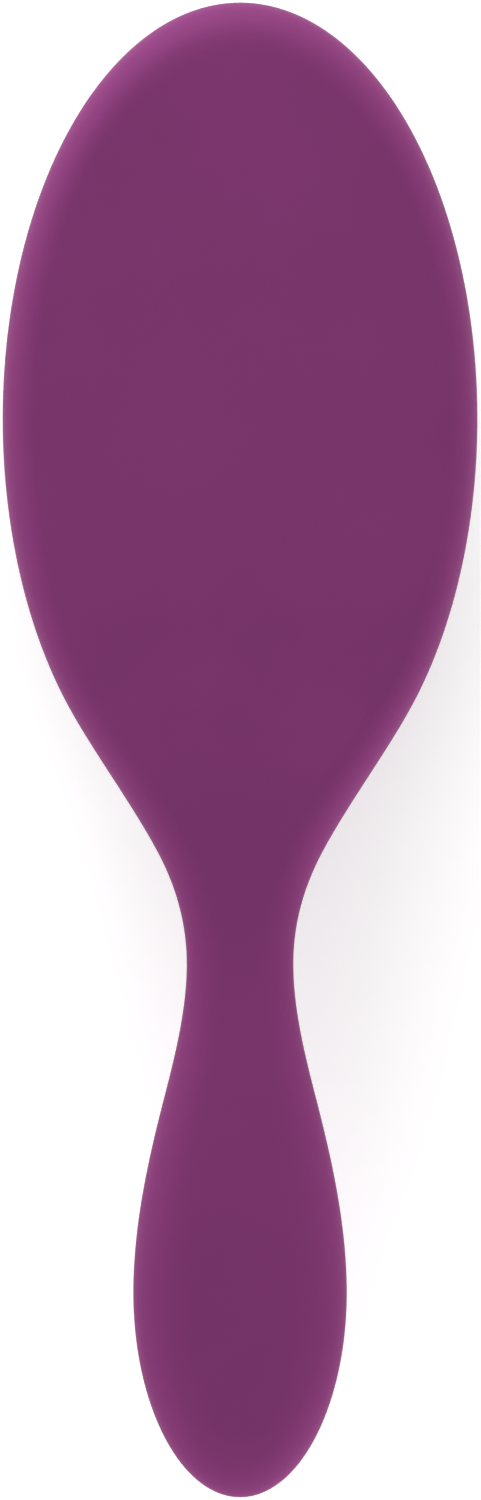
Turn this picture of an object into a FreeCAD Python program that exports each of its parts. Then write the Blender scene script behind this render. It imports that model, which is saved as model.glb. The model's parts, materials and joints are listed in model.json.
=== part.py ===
"""Oval detangling brush: a two-shell body, an air cushion over a tray, and rows of ball-tipped bristles.

Millimetres, +Z up. The brush lies on its bristle tips with its back upwards, and +Y runs towards the head.
The origin is on the supporting surface, under the middle of the overall length.
"""

import FreeCAD
import Part

import math
import os

# Outline, seen square on to the back, in the order tip of the head, neck, grip, end of the grip
HEAD_LENGTH = 125.3      # the whole oval that the head is drawn on
HEAD_WIDTH = 71.5
SHOULDER_REACH = 2.7     # from the oval's lower end on to the middle of the slope into the neck
SHOULDER_WIDTH = 24.7
SHOULDER_SLOPE_SHARE = 0.53
NECK_REACH = 16.7        # from the shoulder on to the narrowest place
NECK_WIDTH = 16.1
TAPER_REACH = 21.3       # from the neck on to the middle of the slope into the grip
TAPER_WIDTH = 23.5
TAPER_SLOPE_SHARE = 0.257
GRIP_REACH = 28.2        # from the taper on to the widest place of the grip
GRIP_WIDTH = 32.2
GRIP_END = 30.8          # from the widest place on to the end
DEPARTURE_SHARE = 0.70   # how far down its lower half the outline leaves the oval

# Side profile, above and below the parting plane of the two shells
HEAD_RISE = 9.0
NECK_RISE = 5.9
TAPER_RISE = 7.9
GRIP_RISE = 8.8
BACK_FALL = 11.8         # from the oval's lower end up to where the back starts to fall
BACK_TAPER_SHARE = 0.09  # slope of the back at the taper
HEAD_DROP = 5.6
NECK_DROP = 6.8
TAPER_DROP = 7.7
GRIP_DROP = 8.6
FRONT_TAPER_SHARE = 0.04
BACK_TIP_ROUND = 8.6     # length over which the back rolls down at the head's tip
FRONT_TIP_ROUND = 4.6
END_ROUND = 15.0         # the same at the end of the grip, back and front
HEAD_BACK_EDGE = 5.6     # width of the rolled edge beside the flat of the back
HEAD_FRONT_EDGE = 4.6
NECK_EDGE = 6.6
GRIP_EDGE = 11.0
FULL_ROUND_SHARE = 0.96  # widest rolled edge, as a share of the half width
FLAT_TRIM = 0.01         # skimmed off the head's back to leave a true plane

# Shells
WALL = 2.2
BEZEL_WIDTH = 7.15       # ring of the front shell round the cushion
BEZEL_ROUND = 0.9        # rounding of the ring's inner edge
TONGUE_HEIGHT = 1.2      # locating tongue of the back shell, inside the front shell
TONGUE_WALL = 1.0
TONGUE_ROOT = 1.2        # height of the tongue's root on the back shell
TONGUE_BITE = 0.3        # how far that root reaches into the wall
TONGUE_CLEARANCE = 0.35
BOSS_RADIUS = 3.0        # boss round each locating pin in the grip
PIN_RADIUS = 1.25
PIN_LENGTH = 4.0
PIN_CLEARANCE = 0.1
SOCKET_SPARE = 0.8       # depth of a socket past the end of its pin
POST_RADIUS = 1.5        # posts of the back shell that hold the tray down
POST_COUNT = 8
POST_HALF_STEP_SHARE = 0.5

# Air cushion
DOME_RISE = 3.0          # crown of the cushion over the opening
CUSHION_RECESS = 0.6     # cushion's edge behind the face of the bezel
MEMBRANE = 1.4
CUSHION_WALL = 1.6
CUSHION_CLEARANCE = 0.3  # between the cushion and the opening
CUSHION_ROUND = 0.9
FLANGE_MARGIN = 0.25     # from the cushion's flange to the bezel's rolled edge
FLANGE_THICKNESS = 1.5
SEAT_CLEARANCE = 0.05    # between faces that are clamped together
VENT_RADIUS = 0.8

# Tray behind the cushion
TRAY_THICKNESS = 1.4
TRAY_DEPTH = 3.2         # from the flange's face to the inside of the tray's floor
TRAY_INSET = 1.0         # tray's outer wall inside the opening
RIB_THICKNESS = 1.2
RIB_HEIGHT = 1.3
RIB_COUNT = 5

# Bristles
BRISTLE_LENGTH = 18.0    # from the cushion's face to the end of the tip
ROWS_PER_SIDE = 5
STEPS_PER_SIDE = 8       # bristle pitches from the middle of the centre row to its end
FIELD_MARGIN = 4.1       # from the opening to the edge of the bristle field
OUTER_ROW_SHARE = 0.939  # outermost row, as a share of the field's half width
OUTER_STEP_SHARE = 0.965
ROOT_RADIUS = 0.65
NARROW_RADIUS = 0.475    # shaft where it enters the tip
TIP_RADIUS = 0.9
STUD_RADIUS = 1.2        # flat head of a bristle, behind the membrane
STUD_THICKNESS = 0.7
HOLE_CLEARANCE = 0.1

# Sampling of the smooth body
TIP_ANGLES = (89.4, 87.5, 84, 80, 75, 69, 61, 51, 37, 20)  # degrees, round the head's tip and grip's end
OVAL_SHARES = (0, 0.2, 0.4, 0.55)   # stations on the oval's lower half
SPAN_SHARES = (0, 1 / 3, 2 / 3)     # stations between two knots of the outline
ARC_SHARE = 0.5523                  # handle length of a cubic that draws a quarter round
SKIRT_SHARE = 0.1                   # extra depth under the parting plane, cut off later
SLOPE_STEP = 0.01                   # distance over which the outline's slope is taken
EDGE_MATCH = 0.1                    # how near an edge lies to the place where it is looked for
OVERRUN = 2.0                       # how far cutters pass what they cut

# Places that follow from the sizes
OVERALL_LENGTH = HEAD_LENGTH + SHOULDER_REACH + NECK_REACH + TAPER_REACH + GRIP_REACH + GRIP_END
TIP_Y = OVERALL_LENGTH / 2
HEAD_Y = TIP_Y - HEAD_LENGTH / 2
SHOULDER_Y = TIP_Y - HEAD_LENGTH - SHOULDER_REACH
NECK_Y = SHOULDER_Y - NECK_REACH
TAPER_Y = NECK_Y - TAPER_REACH
GRIP_Y = TAPER_Y - GRIP_REACH
END_Y = GRIP_Y - GRIP_END

APEX_Z = BRISTLE_LENGTH
BEZEL_Z = APEX_Z + DOME_RISE - CUSHION_RECESS
PARTING_Z = BEZEL_Z + HEAD_DROP
BACK_Z = PARTING_Z + HEAD_RISE
FLANGE_Z = BEZEL_Z + WALL + SEAT_CLEARANCE
TRAY_Z = FLANGE_Z + FLANGE_THICKNESS + SEAT_CLEARANCE
TRAY_FLANGE_TOP = TRAY_Z + TRAY_THICKNESS
TRAY_FLOOR_Z = TRAY_Z + TRAY_DEPTH
TRAY_TOP = TRAY_FLOOR_Z + TRAY_THICKNESS

FLANGE_WIDTH = BEZEL_WIDTH - max(HEAD_FRONT_EDGE, FRONT_TIP_ROUND) - FLANGE_MARGIN  # past the opening
OPENING_X = HEAD_WIDTH / 2 - BEZEL_WIDTH
OPENING_Y = HEAD_LENGTH / 2 - BEZEL_WIDTH
FIELD_X = OPENING_X - FIELD_MARGIN
FIELD_Y = OPENING_Y - FIELD_MARGIN
ROW_PITCH = FIELD_X * OUTER_ROW_SHARE / ROWS_PER_SIDE
STEP_PITCH = FIELD_Y * OUTER_STEP_SHARE / STEPS_PER_SIDE

ROWS = range(-ROWS_PER_SIDE, ROWS_PER_SIDE + 1)  # lengthwise rows, counted from the middle one
BACK = 1                                         # side of the parting plane, as the sign of Z
FRONT = -1


def smooth_value(knots, y):
    """Value at y of a smooth curve through knots of (y, value, slope), listed from high y to low."""
    if y >= knots[0][0]:
        return knots[0][1]
    for (high_y, high, high_slope), (low_y, low, low_slope) in zip(knots, knots[1:]):
        if y >= low_y:
            span = high_y - low_y
            t = (y - low_y) / span
            rest = 1 - t
            bend = low_slope * rest - high_slope * t
            return low + (high - low) * t * t * (3 - 2 * t) + span * t * rest * bend
    return knots[-1][1]


def outline_knots(inset):
    """Half width and its slope from where the outline leaves the oval to the grip's widest place."""
    half_x = HEAD_WIDTH / 2 - inset
    half_y = HEAD_LENGTH / 2 - inset
    level_share = math.sqrt(1 - DEPARTURE_SHARE ** 2)
    oval_slope = half_x / half_y * DEPARTURE_SHARE / level_share
    return [
        (HEAD_Y - DEPARTURE_SHARE * half_y, half_x * level_share, oval_slope),
        (SHOULDER_Y, SHOULDER_WIDTH / 2 - inset, SHOULDER_SLOPE_SHARE),
        (NECK_Y, NECK_WIDTH / 2 - inset, 0),
        (TAPER_Y, TAPER_WIDTH / 2 - inset, -TAPER_SLOPE_SHARE),
        (GRIP_Y, GRIP_WIDTH / 2 - inset, 0),
    ]


def round_share(place, half):
    """Height of a half oval of height 1 at a share of its half length."""
    return math.sqrt(max(0, 1 - (place / half) ** 2))


def half_width(y, inset):
    """Half the width of the outline at y, with its edge taken in by inset."""
    knots = outline_knots(inset)
    if y >= knots[0][0]:
        return (HEAD_WIDTH / 2 - inset) * round_share(y - HEAD_Y, HEAD_LENGTH / 2 - inset)
    if y < GRIP_Y:
        return (GRIP_WIDTH / 2 - inset) * round_share(y - GRIP_Y, GRIP_END - inset)
    return smooth_value(knots, y)


def profile_height(y, side, inset):
    """Height of the body above the parting plane, or its depth below, at y."""
    oval_end = HEAD_Y - HEAD_LENGTH / 2
    if side == BACK:
        tip_round = BACK_TIP_ROUND
        knots = [
            (oval_end + BACK_FALL, HEAD_RISE + FLAT_TRIM, 0),
            (NECK_Y, NECK_RISE, 0),
            (TAPER_Y, TAPER_RISE, -BACK_TAPER_SHARE),
            (GRIP_Y, GRIP_RISE, 0),
        ]
    else:
        tip_round = FRONT_TIP_ROUND
        knots = [
            (oval_end, HEAD_DROP, 0),
            (NECK_Y, NECK_DROP, 0),
            (TAPER_Y, TAPER_DROP, -FRONT_TAPER_SHARE),
            (GRIP_Y, GRIP_DROP, 0),
        ]
    level = smooth_value(knots, y) - inset
    from_tip = max(0, y - (TIP_Y - tip_round))
    from_end = max(0, END_Y + END_ROUND - y)
    return level * round_share(from_tip, tip_round - inset) * round_share(from_end, END_ROUND - inset)


def edge_width(y, side, inset):
    """Width of the rolled edge at y, measured across the brush."""
    head = HEAD_BACK_EDGE if side == BACK else HEAD_FRONT_EDGE
    departure_y = outline_knots(0)[0][0]
    knots = [(departure_y, head, 0), (NECK_Y, NECK_EDGE, 0), (GRIP_Y, GRIP_EDGE, 0)]
    normal_width = smooth_value(knots, y) - inset
    ahead = half_width(y + SLOPE_STEP, inset)
    behind = half_width(y - SLOPE_STEP, inset)
    slope = (ahead - behind) / (2 * SLOPE_STEP)
    return min(normal_width * math.hypot(1, slope), FULL_ROUND_SHARE * half_width(y, inset))


def stations(inset):
    """Places along Y of the body's cross sections, from the tip to the end."""
    upper = [HEAD_Y + (HEAD_LENGTH / 2 - inset) * math.sin(math.radians(a)) for a in TIP_ANGLES]
    oval = [HEAD_Y - share * (HEAD_LENGTH / 2 - inset) for share in OVAL_SHARES]
    knots = outline_knots(inset)
    spans = [a[0] + (b[0] - a[0]) * share for a, b in zip(knots, knots[1:]) for share in SPAN_SHARES]
    grip = [GRIP_Y - (GRIP_END - inset) * math.sin(math.radians(a)) for a in reversed(TIP_ANGLES)]
    return upper + oval + spans + [GRIP_Y] + grip


def quarter_round(start, corner, end):
    """Quarter-oval edge from start to end that would fill the given corner."""
    curve = Part.BezierCurve()
    curve.setPoles([start, start + (corner - start) * ARC_SHARE, end + (corner - end) * ARC_SHARE, end])
    return curve.toShape()


def section_wire(y, side, inset):
    """Closed cross section of half the body at y: a flat with two rolled edges, over a shallow skirt."""
    half = half_width(y, inset)
    edge = edge_width(y, side, inset)
    height = profile_height(y, side, inset)
    face_z = PARTING_Z + side * height
    skirt_z = PARTING_Z - side * height * SKIRT_SHARE

    def at(x, z):
        return FreeCAD.Vector(x, y, z)

    right = quarter_round(at(half, PARTING_Z), at(half, face_z), at(half - edge, face_z))
    left = quarter_round(at(edge - half, face_z), at(-half, face_z), at(-half, PARTING_Z))
    flat = Part.makeLine(at(half - edge, face_z), at(edge - half, face_z))
    corners = [at(-half, PARTING_Z), at(-half, skirt_z), at(half, skirt_z), at(half, PARTING_Z)]
    return Part.Wire([right, flat, left] + Part.makePolygon(corners).Edges)


def half_body(side, inset):
    """Smooth half of the whole brush on one side of the parting plane, with its skirt past the plane."""
    return Part.makeLoft([section_wire(y, side, inset) for y in stations(inset)], True)


def slab(low_z, high_z):
    """Block that covers the whole brush between two heights."""
    side = HEAD_WIDTH + 2 * OVERRUN
    length = OVERALL_LENGTH + 2 * OVERRUN
    return Part.makeBox(side, length, high_z - low_z, FreeCAD.Vector(-side / 2, -length / 2, low_z))


def outline_prism(inset, low_z, high_z):
    """Block with the brush's own outline, taken in by inset, between two heights."""
    knots = outline_knots(inset)

    def at(x, y):
        return FreeCAD.Vector(x, y, low_z)

    def side_edges(sign):
        edges = []
        for (high_y, high, high_slope), (low_y, low, low_slope) in zip(knots, knots[1:]):
            third = (high_y - low_y) / 3
            curve = Part.BezierCurve()
            curve.setPoles([
                at(sign * high, high_y),
                at(sign * (high - high_slope * third), high_y - third),
                at(sign * (low + low_slope * third), low_y + third),
                at(sign * low, low_y),
            ])
            edges.append(curve.toShape())
        return edges

    half_x = HEAD_WIDTH / 2 - inset
    half_y = HEAD_LENGTH / 2 - inset
    oval = Part.Ellipse(at(0, HEAD_Y + half_y), at(-half_x, HEAD_Y), at(0, HEAD_Y))
    depart = math.pi / 2 + math.asin(DEPARTURE_SHARE)
    head = Part.Arc(oval, -depart, depart).toShape()
    end_oval = Part.Ellipse(at(0, END_Y + inset), at(GRIP_WIDTH / 2 - inset, GRIP_Y), at(0, GRIP_Y))
    grip = Part.Arc(end_oval, -math.pi / 2, math.pi / 2).toShape()
    edges = [head] + side_edges(1) + side_edges(-1) + [grip]
    wire = Part.Wire(Part.__sortEdges__(edges))
    return Part.Face(wire).extrude(FreeCAD.Vector(0, 0, high_z - low_z))


def oval_prism(half_x, half_y, low_z, high_z):
    """Oval block on the head's centre between two heights."""
    centre = FreeCAD.Vector(0, HEAD_Y, low_z)
    top = centre + FreeCAD.Vector(0, half_y, 0)
    left = centre - FreeCAD.Vector(half_x, 0, 0)
    face = Part.Face(Part.Wire([Part.Ellipse(top, left, centre).toShape()]))
    return face.extrude(FreeCAD.Vector(0, 0, high_z - low_z))


def dome_slab(lift, depth):
    """Sheet of the given depth whose lower face is the crowned face of the cushion, raised by lift."""
    reach_x = HEAD_WIDTH / 2
    reach_y = HEAD_LENGTH / 2
    bend_x = DOME_RISE * (reach_x / OPENING_X) ** 2
    bend_y = DOME_RISE * (reach_y / OPENING_Y) ** 2
    surface = Part.BezierSurface()
    surface.increase(2, 2)
    signs = (-1, 0, 1)
    for i, sign_x in enumerate(signs):
        for j, sign_y in enumerate(signs):
            z = APEX_Z + lift + bend_x * (2 * sign_x ** 2 - 1) + bend_y * (2 * sign_y ** 2 - 1)
            surface.setPole(i + 1, j + 1, FreeCAD.Vector(sign_x * reach_x, HEAD_Y + sign_y * reach_y, z))
    return surface.toShape().extrude(FreeCAD.Vector(0, 0, depth))


def dome_height(x, along):
    """Height of the cushion's face at x across and at a distance along from the head's centre."""
    return APEX_Z + DOME_RISE * ((x / OPENING_X) ** 2 + (along / OPENING_Y) ** 2)


def dome_outward(x, along):
    """Direction square to the cushion's face, away from the brush."""
    slope_x = 2 * DOME_RISE * x / OPENING_X ** 2
    slope_y = 2 * DOME_RISE * along / OPENING_Y ** 2
    return FreeCAD.Vector(slope_x, slope_y, -1).normalize()


def pin_places():
    """Places along the grip of the locating pins."""
    return (NECK_Y, TAPER_Y, GRIP_Y)


def upright(radius, x, y, low_z, high_z):
    """Round post between two heights."""
    return Part.makeCylinder(radius, high_z - low_z, FreeCAD.Vector(x, y, low_z))


def back_shell():
    """Back of the head and of the grip: a shell with a locating tongue, pins and the tray's posts."""
    outer = half_body(BACK, 0).common(slab(PARTING_Z, BACK_Z))
    cavity = half_body(BACK, WALL)
    shell = outer.cut(cavity)

    inner = WALL + TONGUE_CLEARANCE + TONGUE_WALL
    root_top = PARTING_Z + TONGUE_ROOT
    root = outline_prism(WALL - TONGUE_BITE, PARTING_Z, root_top).cut(
        outline_prism(inner, PARTING_Z - OVERRUN, root_top + OVERRUN))
    tongue = outline_prism(WALL + TONGUE_CLEARANCE, PARTING_Z - TONGUE_HEIGHT, root_top).cut(
        outline_prism(inner, PARTING_Z - TONGUE_HEIGHT - OVERRUN, root_top + OVERRUN))
    bosses = [upright(BOSS_RADIUS, 0, y, PARTING_Z, BACK_Z).common(outer) for y in pin_places()]
    pins = [upright(PIN_RADIUS, 0, y, PARTING_Z - PIN_LENGTH, PARTING_Z + OVERRUN) for y in pin_places()]

    post_x = OPENING_X + FLANGE_WIDTH / 2
    post_y = OPENING_Y + FLANGE_WIDTH / 2
    posts = []
    for i in range(POST_COUNT):
        angle = 2 * math.pi * (i + POST_HALF_STEP_SHARE) / POST_COUNT
        x = post_x * math.cos(angle)
        y = HEAD_Y + post_y * math.sin(angle)
        posts.append(upright(POST_RADIUS, x, y, TRAY_FLANGE_TOP + SEAT_CLEARANCE, BACK_Z - WALL / 2))
    return shell.multiFuse([root, tongue] + bosses + pins + posts)


def front_shell():
    """Bezel of the head and front of the grip: a shell with an oval opening and sockets for the pins."""
    outer = half_body(FRONT, 0).common(slab(PARTING_Z - GRIP_DROP - OVERRUN, PARTING_Z))
    opening = oval_prism(OPENING_X, OPENING_Y, BEZEL_Z - OVERRUN, PARTING_Z)
    shell = outer.cut(half_body(FRONT, WALL)).cut(opening)
    rim = [edge for edge in shell.Edges if is_oval_edge(edge, OPENING_Y, BEZEL_Z)]
    shell = shell.makeFillet(BEZEL_ROUND, rim)

    bosses = []
    sockets = []
    for y in pin_places():
        boss = upright(BOSS_RADIUS, 0, y, PARTING_Z - GRIP_DROP, PARTING_Z - SEAT_CLEARANCE)
        bosses.append(boss.common(outer))
        socket_z = PARTING_Z - PIN_LENGTH - SOCKET_SPARE
        sockets.append(upright(PIN_RADIUS + PIN_CLEARANCE, 0, y, socket_z, PARTING_Z + OVERRUN))
    return shell.multiFuse(bosses).cut(Part.makeCompound(sockets))


def is_oval_edge(edge, half_y, z):
    """Whether an edge goes round the head's centre at height z with the given half length."""
    box = edge.BoundBox
    level = max(abs(box.ZMin - z), abs(box.ZMax - z)) < EDGE_MATCH
    return level and abs(box.YLength - 2 * half_y) < EDGE_MATCH


def cushion_tray():
    """Rigid dish that closes the air space: a flange, a shallow oval wall and a ribbed floor."""
    outer_x = OPENING_X - TRAY_INSET
    outer_y = OPENING_Y - TRAY_INSET
    flange = oval_prism(OPENING_X + FLANGE_WIDTH, OPENING_Y + FLANGE_WIDTH, TRAY_Z, TRAY_FLANGE_TOP)
    dish = oval_prism(outer_x, outer_y, TRAY_Z, TRAY_TOP)
    inner_x = outer_x - TRAY_THICKNESS
    inner_y = outer_y - TRAY_THICKNESS
    hollow = oval_prism(inner_x, inner_y, TRAY_Z - OVERRUN, TRAY_FLOOR_Z)
    rib_zone = oval_prism(inner_x, inner_y, TRAY_FLOOR_Z, TRAY_TOP + RIB_HEIGHT)
    ribs = []
    for i in range(RIB_COUNT):
        along = 2 * outer_y * ((i + 1) / (RIB_COUNT + 1)) - outer_y
        corner = FreeCAD.Vector(-outer_x, HEAD_Y + along - RIB_THICKNESS / 2, TRAY_FLOOR_Z)
        height = TRAY_THICKNESS + RIB_HEIGHT
        ribs.append(Part.makeBox(2 * outer_x, RIB_THICKNESS, height, corner).common(rib_zone))
    return flange.multiFuse([dish] + ribs).cut(hollow)


def cushion_pad():
    """Crowned rubber membrane with a wall, a clamped flange, a hole for each bristle and a vent."""
    flange_top = FLANGE_Z + FLANGE_THICKNESS
    outer_x = OPENING_X - CUSHION_CLEARANCE
    outer_y = OPENING_Y - CUSHION_CLEARANCE
    crown = oval_prism(outer_x, outer_y, APEX_Z - OVERRUN, flange_top).common(dome_slab(0, PARTING_Z))
    rim_z = dome_height(outer_x, 0)
    rim = [edge for edge in crown.Edges if is_oval_edge(edge, outer_y, rim_z)]
    crown = crown.makeFillet(CUSHION_ROUND, rim)
    flange = oval_prism(OPENING_X + FLANGE_WIDTH, OPENING_Y + FLANGE_WIDTH, FLANGE_Z, flange_top)
    chamber = oval_prism(
        outer_x - CUSHION_WALL, outer_y - CUSHION_WALL, APEX_Z - OVERRUN, flange_top + OVERRUN)
    chamber = chamber.common(dome_slab(MEMBRANE, PARTING_Z))
    blank = crown.fuse(flange).cut(chamber)
    holes = [bristle_hole(x, along) for row in ROWS for x, along in row_places(row)]
    vent = upright(VENT_RADIUS, 0, HEAD_Y + STEP_PITCH / 2, APEX_Z - OVERRUN, APEX_Z + MEMBRANE + OVERRUN)
    return blank.cut(Part.makeCompound(holes + [vent]))


def row_places(row):
    """Places of one lengthwise row's bristles: across the head, and along from the head's centre."""
    x = row * ROW_PITCH
    limit = FIELD_Y * math.sqrt(1 - (x / FIELD_X) ** 2)
    shift_share = (row % 2) / 2
    steps = [i + shift_share for i in range(-STEPS_PER_SIDE - 1, STEPS_PER_SIDE + 1)]
    return [(x, step * STEP_PITCH) for step in steps if abs(step * STEP_PITCH) < limit]


def bristle_seat(x, along):
    """Place on the cushion's face and outward direction of the bristle that stands there."""
    return FreeCAD.Vector(x, HEAD_Y + along, dome_height(x, along)), dome_outward(x, along)


def bristle_hole(x, along):
    """Cutter for the hole of one bristle through the membrane."""
    seat, outward = bristle_seat(x, along)
    length = MEMBRANE + 2 * OVERRUN
    start = seat - outward * (MEMBRANE + OVERRUN)
    return Part.makeCylinder(ROOT_RADIUS + HOLE_CLEARANCE, length, start, outward)


def tip_entry():
    """Distance from the centre of a round tip back to the face where its shaft enters."""
    return math.sqrt(TIP_RADIUS ** 2 - NARROW_RADIUS ** 2)


def shaft_reach():
    """Length of a shaft outside the cushion."""
    return BRISTLE_LENGTH - TIP_RADIUS - tip_entry()


def bristle_shaft(x, along):
    """One tapered bristle with the flat head that holds it behind the membrane."""
    seat, outward = bristle_seat(x, along)
    depth = MEMBRANE + SEAT_CLEARANCE
    root = seat - outward * depth
    shaft = Part.makeCone(ROOT_RADIUS, NARROW_RADIUS, depth + shaft_reach(), root, outward)
    head_base = root - outward * STUD_THICKNESS
    head = Part.makeCylinder(STUD_RADIUS, STUD_THICKNESS, head_base, outward)
    return shaft.fuse(head)


def bristle_tip(x, along):
    """One round tip, flat where its shaft enters."""
    seat, outward = bristle_seat(x, along)
    centre = seat + outward * (BRISTLE_LENGTH - TIP_RADIUS)
    low_angle = -math.degrees(math.asin(tip_entry() / TIP_RADIUS))
    return Part.makeSphere(TIP_RADIUS, centre, outward, low_angle, 90, 360)


def main():
    os.makedirs("parts", exist_ok=True)
    shapes = {
        "back_shell": back_shell(),
        "front_shell": front_shell(),
        "cushion_tray": cushion_tray(),
        "cushion_pad": cushion_pad(),
    }
    for number, row in enumerate(ROWS, 1):
        shafts = [bristle_shaft(x, along) for x, along in row_places(row)]
        tips = [bristle_tip(x, along) for x, along in row_places(row)]
        shapes[f"bristle_row_{number:02d}"] = Part.makeCompound(shafts)
        shapes[f"tip_row_{number:02d}"] = Part.makeCompound(tips)
    for name, shape in shapes.items():
        shape.exportStep(f"parts/{name}.step")


if __name__ == "__main__":
    main()
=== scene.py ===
"""Looks of an oval detangling brush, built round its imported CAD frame.

The two shells and the rubber cushion are new meshes that follow the CAD form. The bristles, their tips
and the hidden tray are the CAD nodes with procedural finishes. Metres, +Z up: the brush lies on its
bristle tips, with its head towards +Y.
"""

from __future__ import annotations

import json
import logging
import math
from dataclasses import dataclass, field
from enum import Enum
from typing import Any, Callable, Sequence, TypeVar

import bmesh
import bpy
from mathutils import Matrix, Vector

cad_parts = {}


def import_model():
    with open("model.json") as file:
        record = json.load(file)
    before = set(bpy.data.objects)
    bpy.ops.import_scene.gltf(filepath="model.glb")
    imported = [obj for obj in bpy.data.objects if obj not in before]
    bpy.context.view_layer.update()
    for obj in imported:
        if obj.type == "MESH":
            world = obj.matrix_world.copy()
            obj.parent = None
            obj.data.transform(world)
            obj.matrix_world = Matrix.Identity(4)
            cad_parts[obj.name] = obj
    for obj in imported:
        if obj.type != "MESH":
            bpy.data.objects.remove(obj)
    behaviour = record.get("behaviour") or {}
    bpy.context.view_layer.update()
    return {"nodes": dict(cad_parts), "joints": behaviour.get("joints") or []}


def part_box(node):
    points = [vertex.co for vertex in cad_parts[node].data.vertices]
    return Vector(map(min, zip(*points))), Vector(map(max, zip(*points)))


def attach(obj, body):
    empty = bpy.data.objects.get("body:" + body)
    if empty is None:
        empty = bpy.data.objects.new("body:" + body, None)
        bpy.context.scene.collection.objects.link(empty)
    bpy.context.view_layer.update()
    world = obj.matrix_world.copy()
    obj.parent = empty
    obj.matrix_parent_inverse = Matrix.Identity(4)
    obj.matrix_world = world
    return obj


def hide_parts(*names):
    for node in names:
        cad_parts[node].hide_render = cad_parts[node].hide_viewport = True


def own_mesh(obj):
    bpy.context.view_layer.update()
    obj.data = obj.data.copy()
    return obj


LOG = logging.getLogger("brush")
Made = TypeVar("Made")
Knot = tuple[float, float, float]   # place along Y, value and slope

MM = 0.001
QUARTER = math.pi / 2
WHITE = (1.0, 1.0, 1.0, 1.0)

# Marks along the outline, counted from the head's tip at 0
LEAVES_OVAL = 1.0
GRIP_WIDEST = 2.0
GRIP_TIP = 3.0

# Limits of the searches and tests on a mesh
HALVINGS = 60                  # steps of a search by halves
FINE_STEPS = 40                # short steps measured for each even step round the outline
LEAST_SQUARE = 1e-9            # keeps the outline's slope finite at the very end of the grip
MERGE_DISTANCE = 0.004 * MM    # nearer vertices are one
PLANE_DISTANCE = 0.01 * MM     # nearer vertices lie on the parting plane
STEEP = 0.5                    # a face whose normal has less Z than this stands upright

# Noise of the finishes, and the colour sockets of a Mix node, whose names repeat
DRIFT_NOISE = {"Detail": 3.0, "Roughness": 0.55}
GRAIN_NOISE = {"Detail": 2.0, "Roughness": 0.6}
MOTTLE_NOISE = {"Detail": 4.0}
NOISE_SPAN = {"From Min": 0.3, "From Max": 0.7}
MIX_A = 6
MIX_B = 7
MIX_RESULT = 2


class Side(Enum):
    """Half of the body, as the sign of Z from the parting plane."""

    BACK = 1
    FRONT = -1


class Reach(Enum):
    """What a lamp reaches, as Blender's visibility in diffuse light and in gloss."""

    LIGHT = (True, False)
    GLOSS = (False, True)


class Tone(Enum):
    """Colours of the brush and its stage, as sRGB hex values."""

    PLUM_LIGHT = "#7A366C"
    PLUM_DEEP = "#763469"
    CUSHION = "#4E2547"
    CUSHION_BLOOM = "#5E3156"
    NYLON = "#7E3D72"
    NYLON_LIGHT = "#8A477D"
    RESIN = "#985388"
    RESIN_LIGHT = "#A4619A"
    TRAY = "#3B2F3A"
    TRAY_LIGHT = "#463945"
    FLOOR = "#F4F4F4"
    FLOOR_WARM = "#F2F2F1"


def linear(tone: Tone) -> tuple[float, float, float, float]:
    """Turn an sRGB hex colour into linear RGBA.

    Args:
        tone: Colour to turn.

    Returns:
        Linear red, green, blue and an alpha of 1.
    """
    parts = [int(tone.value[i:i + 2], 16) / 255 for i in (1, 3, 5)]
    curved = [c / 12.92 if c <= 0.04045 else ((c + 0.055) / 1.055) ** 2.4 for c in parts]
    return curved[0], curved[1], curved[2], 1.0


def add_node(tree: bpy.types.NodeTree, kind: str, settings: dict[str, Any] | None = None,
             inputs: dict[Any, Any] | None = None) -> bpy.types.Node:
    """Add a node with its settings, and set or link its inputs.

    Args:
        tree: Node tree that takes the node.
        kind: Blender's name of the node type.
        settings: Attributes of the node.
        inputs: Input name or number to a value, or to an output socket that is linked in.

    Returns:
        The new node.
    """
    node = tree.nodes.new(kind)
    for name, value in (settings or {}).items():
        setattr(node, name, value)
    for name, value in (inputs or {}).items():
        if isinstance(value, bpy.types.NodeSocket):
            tree.links.new(value, node.inputs[name])
        else:
            node.inputs[name].default_value = value
    return node


def new_material(name: str) -> tuple[bpy.types.Material, bpy.types.NodeTree, bpy.types.NodeSocket]:
    """Make an empty node material.

    Args:
        name: Name of the material.

    Returns:
        The material, its empty tree and a socket with Object coordinates.
    """
    material = bpy.data.materials.new(name)
    material.use_nodes = True
    tree = material.node_tree
    tree.nodes.clear()
    coordinates = add_node(tree, "ShaderNodeTexCoord")
    return material, tree, coordinates.outputs["Object"]


def seen_directly(tree: bpy.types.NodeTree) -> bpy.types.NodeSocket:
    """Tell what is looked at from what only receives light.

    Args:
        tree: Node tree that takes the nodes.

    Returns:
        A socket that is 1 for rays from the camera, from gloss and through glass, and 0 for other light.
    """
    path = add_node(tree, "ShaderNodeLightPath")
    direct = add_node(tree, "ShaderNodeMath", {"operation": "MAXIMUM"}, {
        0: path.outputs["Is Camera Ray"], 1: path.outputs["Is Glossy Ray"]})
    seen = add_node(tree, "ShaderNodeMath", {"operation": "MAXIMUM"}, {
        0: direct.outputs[0], 1: path.outputs["Is Transmission Ray"]})
    return seen.outputs[0]


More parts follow.
